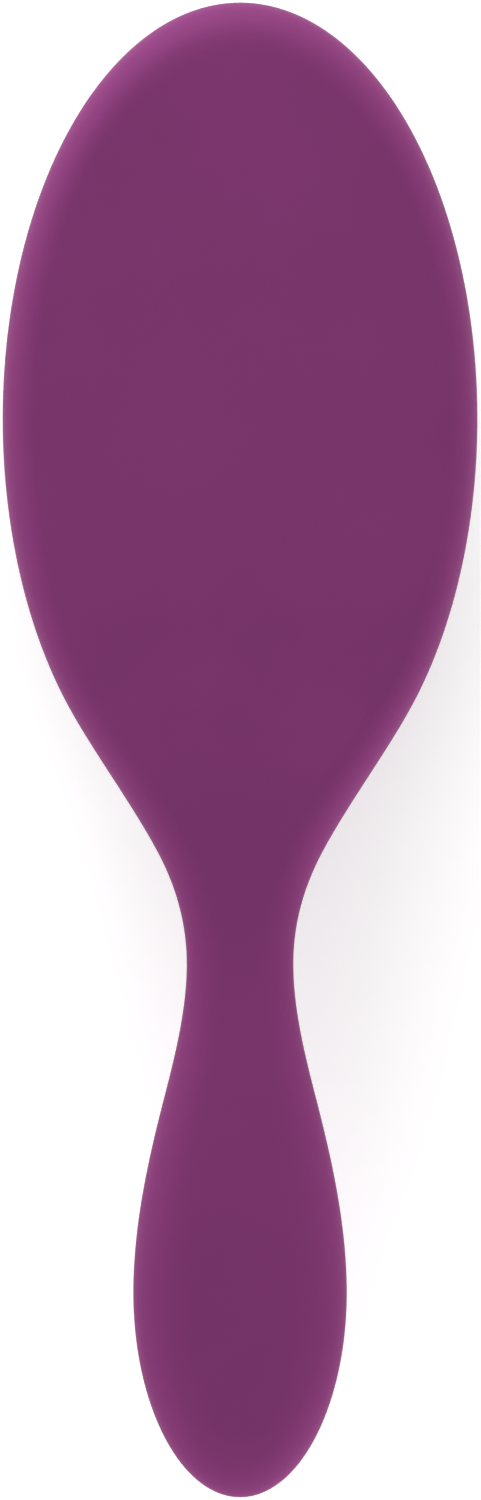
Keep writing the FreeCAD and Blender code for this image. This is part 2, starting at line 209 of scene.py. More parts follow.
@dataclass(frozen=True)
class MouldedFinish:
    """A moulded surface: two near tones, a fine grain in its gloss and relief, and constant shader values.

    Attributes:
        name: Common name of the material and how it was made.
        tone: Main colour.
        drift_tone: Colour that it drifts to.
        drift_mm: Size of the drift's patches.
        grain_mm: Size of the surface grain.
        grain_depth_mm: Relief of the grain.
        roughness: Lowest and highest roughness.
        constants: Values set on the shader's own sockets.
    """

    name: str
    tone: Tone
    drift_tone: Tone
    drift_mm: float
    grain_mm: float
    grain_depth_mm: float
    roughness: tuple[float, float]
    constants: dict[str, Any] = field(default_factory=dict)

    def build(self) -> bpy.types.Material:
        """Build the material.

        Returns:
            The finished material.
        """
        material, tree, place = new_material(self.name)
        drift = add_node(tree, "ShaderNodeTexNoise", inputs={
            "Vector": place, "Scale": 1 / (self.drift_mm * MM), **DRIFT_NOISE})
        grain = add_node(tree, "ShaderNodeTexNoise", inputs={
            "Vector": place, "Scale": 1 / (self.grain_mm * MM), **GRAIN_NOISE})
        patches = add_node(tree, "ShaderNodeMapRange", inputs={"Value": drift.outputs["Fac"], **NOISE_SPAN})
        colour = add_node(tree, "ShaderNodeMix", {"data_type": "RGBA"}, {
            "Factor": patches.outputs["Result"], MIX_A: linear(self.tone), MIX_B: linear(self.drift_tone)})
        gloss = add_node(tree, "ShaderNodeMapRange", inputs={
            "Value": grain.outputs["Fac"], **NOISE_SPAN,
            "To Min": self.roughness[0], "To Max": self.roughness[1]})
        relief = add_node(tree, "ShaderNodeBump", inputs={
            "Height": grain.outputs["Fac"], "Strength": 1.0, "Distance": self.grain_depth_mm * MM})
        shader = add_node(tree, "ShaderNodeBsdfPrincipled", inputs={
            "Base Color": colour.outputs[MIX_RESULT], "Roughness": gloss.outputs["Result"],
            "Normal": relief.outputs["Normal"], **self.constants})
        add_node(tree, "ShaderNodeOutputMaterial", inputs={"Surface": shader.outputs["BSDF"]})
        return material


@dataclass(frozen=True)
class FloorFinish:
    """Matt white paper floor, seen as white with the brush's shadow on it, and clear from below.

    Attributes:
        name: Name of the material.
        fibre_mm: Size of the paper's faint mottle.
        lift: Light added where the camera, gloss or glass looks at the floor.
    """

    name: str = "white_paper_matt"
    fibre_mm: float = 6.0
    lift: float = 0.36

    def build(self) -> bpy.types.Material:
        """Build the material.

        Returns:
            The finished material.
        """
        material, tree, place = new_material(self.name)
        mottle = add_node(tree, "ShaderNodeTexNoise", inputs={
            "Vector": place, "Scale": 1 / (self.fibre_mm * MM), **MOTTLE_NOISE})
        colour = add_node(tree, "ShaderNodeMix", {"data_type": "RGBA"}, {
            "Factor": mottle.outputs["Fac"], MIX_A: linear(Tone.FLOOR), MIX_B: linear(Tone.FLOOR_WARM)})
        paper = add_node(tree, "ShaderNodeBsdfDiffuse", inputs={"Color": colour.outputs[MIX_RESULT]})
        glow = add_node(tree, "ShaderNodeEmission", inputs={"Strength": self.lift})
        lifted = add_node(tree, "ShaderNodeAddShader", inputs={0: paper.outputs[0], 1: glow.outputs[0]})
        front = add_node(tree, "ShaderNodeMixShader", inputs={
            0: seen_directly(tree), 1: paper.outputs[0], 2: lifted.outputs[0]})
        clear = add_node(tree, "ShaderNodeBsdfTransparent")
        facing = add_node(tree, "ShaderNodeNewGeometry")
        surface = add_node(tree, "ShaderNodeMixShader", inputs={
            0: facing.outputs["Backfacing"], 1: front.outputs[0], 2: clear.outputs[0]})
        add_node(tree, "ShaderNodeOutputMaterial", inputs={"Surface": surface.outputs[0]})
        return material


# Moulded ABS under a soft-touch lacquer: even matt plum with a velvety bloom on edges that turn away.
# The lacquer's grain is far finer than a pixel, so it is drawn at about a third of a millimetre.
SOFT_TOUCH = MouldedFinish(
    "abs_soft_touch_lacquer", Tone.PLUM_DEEP, Tone.PLUM_LIGHT,
    drift_mm=28.0, grain_mm=0.35, grain_depth_mm=0.006, roughness=(0.48, 0.58),
    constants={"IOR": 1.46, "Specular IOR Level": 0.03, "Sheen Weight": 0.07, "Sheen Roughness": 0.6,
               "Sheen Tint": (1.0, 0.15, 0.55, 1.0)})
# Moulded natural rubber: dull, darker than the shell, with a slight bloom in patches.
CUSHION_RUBBER = MouldedFinish(
    "moulded_rubber", Tone.CUSHION, Tone.CUSHION_BLOOM,
    drift_mm=14.0, grain_mm=0.5, grain_depth_mm=0.02, roughness=(0.62, 0.78),
    constants={"IOR": 1.52, "Specular IOR Level": 0.3, "Sheen Weight": 0.08, "Sheen Roughness": 0.5})
# Drawn and cut nylon: satin, a little light goes through its edges.
BRISTLE_NYLON = MouldedFinish(
    "drawn_nylon", Tone.NYLON, Tone.NYLON_LIGHT,
    drift_mm=9.0, grain_mm=0.25, grain_depth_mm=0.004, roughness=(0.3, 0.42),
    constants={"IOR": 1.53, "Subsurface Weight": 0.15, "Subsurface Radius": (0.6, 0.3, 0.5),
               "Subsurface Scale": 0.5 * MM})
# Dipped epoxy beads: smooth and glossy, a shade paler than the bristle.
TIP_RESIN = MouldedFinish(
    "dipped_epoxy", Tone.RESIN, Tone.RESIN_LIGHT,
    drift_mm=5.0, grain_mm=0.6, grain_depth_mm=0.003, roughness=(0.16, 0.26),
    constants={"IOR": 1.55, "Coat Weight": 0.3, "Coat Roughness": 0.1})
# Plain moulded polypropylene, as it leaves the mould. It is hidden inside the head.
TRAY_PLASTIC = MouldedFinish(
    "moulded_polypropylene", Tone.TRAY, Tone.TRAY_LIGHT,
    drift_mm=18.0, grain_mm=0.6, grain_depth_mm=0.01, roughness=(0.4, 0.52), constants={"IOR": 1.49})


def halve(low: float, high: float, before: Callable[[float], bool]) -> tuple[float, float]:
    """Close in by halves on the place where a test turns from true to false.

    Args:
        low: Place where the test is true.
        high: Place where it is false.
        before: The test.

    Returns:
        The last place found where the test is true, and the first where it is false.
    """
    for _ in range(HALVINGS):
        middle = (low + high) / 2
        if before(middle):
            low = middle
        else:
            high = middle
    return low, high


def quarter_turns(count: int) -> list[float]:
    """Angles at the ends of even steps over a quarter turn."""
    return [QUARTER * i / count for i in range(1, count + 1)]


@dataclass(frozen=True)
class Oval:
    """Oval round the middle of the head.

    Attributes:
        x: Half width.
        y: Half length.
    """

    x: float
    y: float

    def grown(self, distance: float) -> Oval:
        """The oval with its edge moved out by a distance, or in where that is below 0."""
        return Oval(self.x + distance, self.y + distance)


@dataclass(frozen=True)
class Station:
    """Place that the outline of the neck and grip goes through.

    Attributes:
        reach: Distance from the head's tip.
        half: Half width.
        slope: Slope of the half width along Y.
    """

    reach: float
    half: float
    slope: float = 0.0


@dataclass(frozen=True)
class Profile:
    """Back or front of the body seen from the side, and its rolled edge on the head.

    Attributes:
        levels: Height from the parting plane at the head, neck, taper and grip.
        fall: Distance from the head's tip to where the head's level ends.
        taper_slope: Slope of the height along Y at the taper.
        edges: Width of the rolled edge beside the head and at its tip.
    """

    levels: tuple[float, float, float, float]
    fall: float
    taper_slope: float
    edges: tuple[float, float]


@dataclass(frozen=True)
class Strip:
    """One line over the body, from the outline along its normal to the middle line.

    Attributes:
        x: Half width where the line starts.
        y: Place along the brush where it starts.
        spine_y: Place on the middle line where it ends.
    """

    x: float
    y: float
    spine_y: float

    @property
    def length(self) -> float:
        """Length of the line seen from above."""
        return math.hypot(self.x, self.spine_y - self.y)

    def at(self, share: float) -> tuple[float, float]:
        """Place on the line, seen from above, at a share of its length."""
        return self.x * (1 - share), self.y + (self.spine_y - self.y) * share


@dataclass(frozen=True)
class BrushForm:
    """Smooth outer form of the body: the CAD part's outline, side profile and rolled edges.

    Attributes:
        tip_y: Head's tip, from the frame.
        parting_z: Plane where the shells meet, from the frame.
        head: Oval that the head is drawn on.
        opening: Cushion's opening in the front.
        shoulder: Halfway down the slope into the neck.
        neck: Narrowest place.
        taper: Halfway up the slope into the grip.
        grip: Widest place of the grip.
        grip_end: Length from the grip's widest place to its end.
        departure_share: How far down its lower half the outline leaves the oval.
        back: Profile above the parting plane.
        front: Profile below it.
        neck_edge: Width of the rolled edge at the neck.
        grip_edge: Width of the rolled edge at the grip's widest place.
        tip_power: Power of the rolled edge's change of width towards the tip.
        end_round: Length over which the grip's end rolls down.
        full_round_share: Widest rolled edge, as a share of the half width.
        roll_power: Power of the rolled edge's curve, 2 for an oval and more for a fuller edge.
        blend_power: Power that blends the rolled edge's width into its widest.
    """

    tip_y: float
    parting_z: float
    head: Oval = Oval(35.75 * MM, 62.65 * MM)
    opening: Oval = Oval(28.6 * MM, 55.5 * MM)
    shoulder: Station = Station(128.0 * MM, 12.35 * MM, 0.53)
    neck: Station = Station(144.7 * MM, 8.05 * MM)
    taper: Station = Station(166.0 * MM, 11.75 * MM, -0.257)
    grip: Station = Station(194.2 * MM, 16.1 * MM)
    grip_end: float = 30.8 * MM
    departure_share: float = 0.70
    back: Profile = Profile(
        levels=(9.0 * MM, 5.9 * MM, 7.9 * MM, 8.8 * MM), fall=113.5 * MM, taper_slope=-0.09,
        edges=(6.0 * MM, 8.8 * MM))
    front: Profile = Profile(
        levels=(5.6 * MM, 6.8 * MM, 7.7 * MM, 8.6 * MM), fall=125.3 * MM, taper_slope=-0.04,
        edges=(4.6 * MM, 4.6 * MM))
    neck_edge: float = 6.8 * MM
    grip_edge: float = 11.0 * MM
    tip_power: float = 4.0
    end_round: float = 15.0 * MM
    full_round_share: float = 0.96
    roll_power: float = 2.3
    blend_power: float = 8.0

    @classmethod
    def from_frame(cls) -> BrushForm:
        """Read the overall places from the CAD nodes' boxes.

        Returns:
            The form in the shared frame.
        """
        back_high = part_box("back_shell")[1]
        front_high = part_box("front_shell")[1]
        return cls(tip_y=back_high.y, parting_z=front_high.z)

    @property
    def head_y(self) -> float:
        """Middle of the head's oval."""
        return self.tip_y - self.head.y

    @property
    def neck_y(self) -> float:
        """Narrowest place of the neck."""
        return self.tip_y - self.neck.reach

    @property
    def grip_y(self) -> float:
        """Widest place of the grip."""
        return self.tip_y - self.grip.reach

    @property
    def departure_y(self) -> float:
        """Place where the outline leaves the head's oval."""
        return self.head_y - self.departure_share * self.head.y

    def profile(self, side: Side) -> Profile:
        """Profile of one side of the body."""
        return self.back if side is Side.BACK else self.front

    def knots(self) -> list[Knot]:
        """Knots of the outline between the head's oval and the grip's widest place.

        Returns:
            Half widths from high y to low.
        """
        level = math.sqrt(1 - self.departure_share ** 2)
        slope = self.head.x / self.head.y * self.departure_share / level
        stations = (self.shoulder, self.neck, self.taper, self.grip)
        below = [(self.tip_y - station.reach, station.half, station.slope) for station in stations]
        return [(self.departure_y, self.head.x * level, slope)] + below

    @staticmethod
    def smooth(knots: Sequence[Knot], y: float) -> tuple[float, float]:
        """Value and slope at y of a smooth curve.

        Args:
            knots: Knots of the curve, from high y to low.
            y: Place along the brush.

        Returns:
            The value and its slope along Y.
        """
        if y >= knots[0][0]:
            return knots[0][1], 0.0
        for (high_y, high, high_slope), (low_y, low, low_slope) in zip(knots, knots[1:]):
            if y >= low_y:
                span = high_y - low_y
                t = (y - low_y) / span
                rest = 1 - t
                value = low + (high - low) * t * t * (3 - 2 * t)
                value += span * t * rest * (low_slope * rest - high_slope * t)
                slope = (high - low) / span * 6 * t * rest
                slope += low_slope * rest * (1 - 3 * t) + high_slope * t * (3 * t - 2)
                return value, slope
        return knots[-1][1], 0.0

    def outline(self, place: float) -> Strip:
        """Strip that starts at a place on the right half of the outline.

        Args:
            place: Place between the marks of the outline, 0 at the head's tip.

        Returns:
            The strip from the outline to the middle line.
        """
        if place <= LEAVES_OVAL:
            angle = QUARTER - place * (QUARTER + math.asin(self.departure_share))
            rise = self.head.y * math.sin(angle)
            spine = rise * (1 - (self.head.x / self.head.y) ** 2)
            return Strip(max(0.0, self.head.x * math.cos(angle)), self.head_y + rise, self.head_y + spine)
        if place <= GRIP_WIDEST:
            y = self.departure_y + (self.grip_y - self.departure_y) * (place - LEAVES_OVAL)
            half, slope = self.smooth(self.knots(), y)
            return Strip(half, y, y + half * slope)
        angle = (place - GRIP_WIDEST) * QUARTER
        fall = self.grip_end * math.sin(angle)
        spine = fall * (1 - (self.grip.half / self.grip_end) ** 2)
        return Strip(max(0.0, self.grip.half * math.cos(angle)), self.grip_y - fall, self.grip_y - spine)

    def strips(self, counts: tuple[int, int], split_y: float) -> list[Strip]:
        """Strips at even steps round the right half of the outline.

        Args:
            counts: Number of steps above and below the split.
            split_y: Place on the middle line that one strip meets exactly.

        Returns:
            Strips from the tip to the end of the grip.
        """
        split, _ = halve(0.0, GRIP_TIP, lambda place: self.outline(place).spine_y > split_y)
        above = self.even_places(0.0, split, counts[0])
        below = self.even_places(split, GRIP_TIP, counts[1])
        return [self.outline(place) for place in above[:-1] + below]

    def even_places(self, start: float, end: float, count: int) -> list[float]:
        """Places on the outline at even distances.

        Args:
            start: First place.
            end: Last place.
            count: Number of steps.

        Returns:
            One more place than steps.
        """
        fine = FINE_STEPS * count
        places = [start + (end - start) * i / fine for i in range(fine + 1)]
        points = [self.outline(p) for p in places]
        lengths = [0.0]
        for a, b in zip(points, points[1:]):
            lengths.append(lengths[-1] + math.hypot(b.x - a.x, b.y - a.y))
        chosen, index = [], 0
        for step in range(count + 1):
            while index < fine and lengths[index] < lengths[-1] * step / count:
                index += 1
            chosen.append(places[index])
        return [start] + chosen[1:-1] + [end]

    def half_width(self, y: float) -> tuple[float, float]:
        """Half width of the neck or grip and its slope.

        Args:
            y: Place along the brush.

        Returns:
            The half width and its slope along Y.
        """
        if y >= self.grip_y:
            return self.smooth(self.knots(), y)
        fall = self.grip_y - y
        level = math.sqrt(max(LEAST_SQUARE, 1 - (fall / self.grip_end) ** 2))
        return self.grip.half * level, self.grip.half * fall / (self.grip_end ** 2 * level)

    def level(self, y: float, side: Side) -> float:
        """Height of the body's flat or crown from the parting plane.

        Args:
            y: Place along the brush.
            side: Back or front.

        Returns:
            The height, without the rolled edges.
        """
        profile = self.profile(side)
        head, neck, taper, grip = profile.levels
        knots = [
            (self.tip_y - profile.fall, head, 0.0),
            (self.neck_y, neck, 0.0),
            (self.tip_y - self.taper.reach, taper, profile.taper_slope),
            (self.grip_y, grip, 0.0),
        ]
        return self.smooth(knots, y)[0]

    def edge(self, y: float, side: Side) -> float:
        """Width of the rolled edge, square to the outline.

        Args:
            y: Place along the brush.
            side: Back or front.

        Returns:
            The width.
        """
        beside, at_tip = self.profile(side).edges
        if y > self.head_y:
            towards_tip = (y - self.head_y) / self.head.y
            return beside + (at_tip - beside) * towards_tip ** self.tip_power
        knots = [
            (self.departure_y, beside, 0.0),
            (self.neck_y, self.neck_edge, 0.0),
            (self.grip_y, self.grip_edge, 0.0),
        ]
        return self.smooth(knots, y)[0]

    def roll(self, share: float) -> float:
        """Height of the rolled edge as a share of the level, at a share of its width."""
        return math.sqrt(1 - (1 - min(1.0, max(0.0, share))) ** self.roll_power)

    def roll_share(self, strip: Strip, side: Side) -> float:
        """Share of a strip that its rolled edge takes."""
        return min(self.edge(strip.y, side) / strip.length, self.full_round_share)

    def point(self, strip: Strip, share: float, side: Side) -> Vector:
        """Place on the body's surface at a share of a strip.

        Args:
            strip: Line from the outline to the middle line.
            share: Share of the line's length.
            side: Back or front.

        Returns:
            The place on the right half of the body.
        """
        x, y = strip.at(share)
        if strip.y >= self.neck_y:
            height = self.level(y, side) * self.roll(share / self.roll_share(strip, side))
        else:
            half, slope = self.half_width(y)
            wide = self.edge(y, side) * math.hypot(1, slope)
            full = self.full_round_share * half
            edge = (wide ** -self.blend_power + full ** -self.blend_power) ** (-1 / self.blend_power)
            from_end = max(0.0, self.end_round - (y - (self.grip_y - self.grip_end)))
            ending = math.sqrt(max(0.0, 1 - (from_end / self.end_round) ** 2))
            height = self.level(y, side) * ending * self.roll((half - x) / edge)
        return Vector((x, y, self.parting_z + side.value * height))

    def opening_loop(self, outset: float, z: float, angles: Sequence[float]) -> list[Vector]:
        """Places on an oval round the cushion's opening.

        Args:
            outset: How far the oval lies outside the opening.
            z: Height of the oval.
            angles: Angle of each place round the oval.

        Returns:
            One place for each angle.
        """
        oval = self.opening.grown(outset)
        return [Vector((oval.x * math.cos(a), self.head_y + oval.y * math.sin(a), z)) for a in angles]


def mirrored(points: Sequence[Vector]) -> list[Vector]:
    """Close a right half, given from the tip to the end, into a whole loop.

    Args:
        points: Places on the right half, whose first and last lie on the middle line.

    Returns:
        Places of the loop, the right half first.
    """
    left = [Vector((-p.x, p.y, p.z)) for p in reversed(points[1:-1])]
    return list(points) + left


def extend(bm: bmesh.types.BMesh, line: Sequence[bmesh.types.BMVert], places: Sequence[Vector],
           closed: bool) -> list[bmesh.types.BMVert]:
    """Extrude a line of vertices into a band of faces.

    Args:
        bm: Mesh that takes the band.
        line: Vertices in order.
        places: Place of each new vertex.
        closed: Whether the line is a loop.

    Returns:
        The new vertices in the same order.
    """
    pairs = list(zip(line, line[1:])) + ([(line[-1], line[0])] if closed else [])
    edges = [bm.edges.get(pair) for pair in pairs]
    grown = bmesh.ops.extrude_edge_only(bm, edges=edges)["geom"]
    fresh = {item for item in grown if isinstance(item, bmesh.types.BMVert)}
    new_line = []
    for vertex, place in zip(line, places):
        above = next(e.other_vert(vertex) for e in vertex.link_edges if e.other_vert(vertex) in fresh)
        above.co = place
        new_line.append(above)
    return new_line


def first_loop(bm: bmesh.types.BMesh, places: Sequence[Vector]) -> list[bmesh.types.BMVert]:
    """Start a mesh with a loop of vertices.

    Args:
        bm: Empty mesh.
        places: Place of each vertex.

    Returns:
        The loop's vertices in order.
    """
    made = bmesh.ops.create_circle(bm, segments=len(places), radius=1.0)["verts"]
    for vertex, place in zip(made, places):
        vertex.co = place
    return list(made)


def point_outwards(bm: bmesh.types.BMesh, inside: Vector) -> None:
    """Make the faces consistent and turn them away from a point inside the form.

    Args:
        bm: Mesh to turn.
        inside: Point inside the form.
    """
    bmesh.ops.recalc_face_normals(bm, faces=bm.faces[:])
    bm.normal_update()
    outward = sum(f.calc_area() * f.normal.dot(f.calc_center_median() - inside) for f in bm.faces)
    if outward < 0:
        bmesh.ops.reverse_faces(bm, faces=bm.faces[:])


def finish_piece(bm: bmesh.types.BMesh, name: str, sharp_degrees: float = 30.0) -> bpy.types.Object:
    """Turn a finished mesh into a smooth-shaded object at the origin.

    Args:
        bm: Mesh, which is freed.
        name: Name of the piece.
        sharp_degrees: Edges that turn by more than this stay sharp.

    Returns:
        The new object.
    """
    mesh = bpy.data.meshes.new(name)
    bm.to_mesh(mesh)
    bm.free()
    mesh.shade_smooth()
    mesh.set_sharp_from_angle(angle=math.radians(sharp_degrees))
    piece = bpy.data.objects.new(name, mesh)
    bpy.context.scene.collection.objects.link(piece)
    return piece


@dataclass
class Shell:
    """Back or front shell of the body.

    Attributes:
        form: Outer form of the body.
        side: Back or front.
        columns: Steps round half the outline, above and below the opening's lower end.
        roll_rows: Rows of faces over the rolled edge.
        roll_limit_share: Most of a strip that the rolled edge may take.
        flat_rows: Rows of faces from the rolled edge to the middle line or the opening.
        wall: Thickness of the shell.
        rim_round: Rounding of the opening's edge.
        rim_rows: Rows of faces over that rounding.
        parting_bevel: Small bevel along the parting line.
        bevel_rows: Rows of faces over that bevel.
        bevel_fullness: Shape of that bevel, 0.5 for an even round.
        sharp_degrees: Edges that turn by more than this stay sharp.
    """

    form: BrushForm
    side: Side
    columns: tuple[int, int] = (150, 110)
    roll_rows: int = 16
    roll_limit_share: float = 0.98
    flat_rows: int = 8
    wall: float = 1.8 * MM
    rim_round: float = 0.9 * MM
    rim_rows: int = 6
    parting_bevel: float = 0.25 * MM
    bevel_rows: int = 2
    bevel_fullness: float = 0.5
    sharp_degrees: float = 40.0

    @property
    def rim(self) -> Oval:
        """Oval where the bezel's flat ends."""
        return self.form.opening.grown(self.rim_round)

    def end_share(self, strip: Strip) -> float:
        """Share of a strip at which the surface ends: the bezel's rim, or the middle line.

        Args:
            strip: Line from the outline to the middle line.

        Returns:
            The share, 1 at the middle line.
        """
        rim = self.rim
        if self.side is Side.BACK or strip.spine_y <= self.form.head_y - rim.y:
            return 1.0

        def outside(share: float) -> bool:
            """Whether a share of the strip lies outside the rim."""
            x, y = strip.at(share)
            return math.hypot(x / rim.x, (y - self.form.head_y) / rim.y) > 1

        return halve(0.0, 1.0, outside)[1]

    def rows(self, strip: Strip) -> list[float]:
        """Shares of a strip where its rows of vertices lie, closest on the rolled edge.

        Args:
            strip: Line from the outline to the middle line.

        Returns:
            The shares after the outline itself.
        """
        end = self.end_share(strip)
        rolled = min(self.form.roll_share(strip, self.side), self.roll_limit_share * end)
        roll = [rolled * (1 - math.cos(turn)) for turn in quarter_turns(self.roll_rows)]
        flat = [rolled + (end - rolled) * i / self.flat_rows for i in range(1, self.flat_rows + 1)]
        return roll + flat

    def build(self) -> bpy.types.Object:
        """Build the shell's mesh.

        Returns:
            The shell as an object.
        """
        form = self.form
        bm = bmesh.new()
        strips = form.strips(self.columns, form.head_y - self.rim.y)
        shares = [self.rows(strip) for strip in strips]
        outline = mirrored([form.point(strip, 0.0, self.side) for strip in strips])
        line = first_loop(bm, outline)
        for row in range(self.roll_rows + self.flat_rows):
            places = [form.point(strip, share[row], self.side) for strip, share in zip(strips, shares)]
            line = extend(bm, line, mirrored(places), closed=True)
        if self.side is Side.FRONT:
            self.roll_rim(bm, line)
        bmesh.ops.remove_doubles(bm, verts=bm.verts[:], dist=MERGE_DISTANCE)
        point_outwards(bm, Vector((0, form.head_y, form.parting_z)))
        bmesh.ops.solidify(bm, geom=bm.faces[:], thickness=self.wall)
        self.bevel_parting(bm)
        return finish_piece(bm, f"{self.side.name.lower()}_shell_soft_touch", self.sharp_degrees)

    def roll_rim(self, bm: bmesh.types.BMesh, line: Sequence[bmesh.types.BMVert]) -> None:
        """Roll the bezel's inner edge into the opening and carry it up through the wall.

        Args:
            bm: Mesh of the front shell.
            line: Its innermost vertices.
        """
        steps = self.columns[0]
        edge = list(line[-steps:]) + list(line[:steps + 1])
        rim = self.rim
        angles = [math.atan2((v.co.y - self.form.head_y) / rim.y, v.co.x / rim.x) for v in edge]
        face_z = self.form.parting_z - self.form.front.levels[0]
        rolled = [
            (self.rim_round * (1 - math.sin(turn)), face_z + self.rim_round * (1 - math.cos(turn)))
            for turn in quarter_turns(self.rim_rows)]
        for outset, z in rolled + [(0.0, face_z + self.wall)]:
            edge = extend(bm, edge, self.form.opening_loop(outset, z, angles), closed=False)

    def bevel_parting(self, bm: bmesh.types.BMesh) -> None:
        """Bevel the outer edge of the parting face, which leaves a fine groove between the shells.

        Args:
            bm: Mesh of the shell, with its wall.
        """
        bm.normal_update()
        edges = [edge for edge in bm.edges if self.is_parting_edge(edge)]
        bmesh.ops.bevel(bm, geom=edges, offset=self.parting_bevel, affect="EDGES", segments=self.bevel_rows,
                        profile=self.bevel_fullness, material=-1, offset_type="OFFSET", clamp_overlap=True)

    def is_parting_edge(self, edge: bmesh.types.BMEdge) -> bool:
        """Whether an edge of the shell is the outer edge of its parting face.

        Args:
            edge: Edge of the shell.

        Returns:
            True where the parting face meets the outside.
        """
        if any(abs(v.co.z - self.form.parting_z) >= PLANE_DISTANCE for v in edge.verts):
            return False
        sides = [f for f in edge.link_faces if abs(f.normal.z) < STEEP]
        flats = [f for f in edge.link_faces if abs(f.normal.z) >= STEEP]
        if len(sides) != 1 or len(flats) != 1:
            return False
        middle = (edge.verts[0].co + edge.verts[1].co) / 2
        return sides[0].normal.dot(middle - flats[0].calc_center_median()) > 0

    def dress(self, piece: bpy.types.Object, finish: MouldedFinish) -> None:
        """Give the shell its finish and its place in the frame.

        Args:
            piece: The shell's object.
            finish: Finish of the shell.
        """
        piece.data.materials.append(finish.build())
        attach(piece, "handle")
        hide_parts("back_shell" if self.side is Side.BACK else "front_shell")


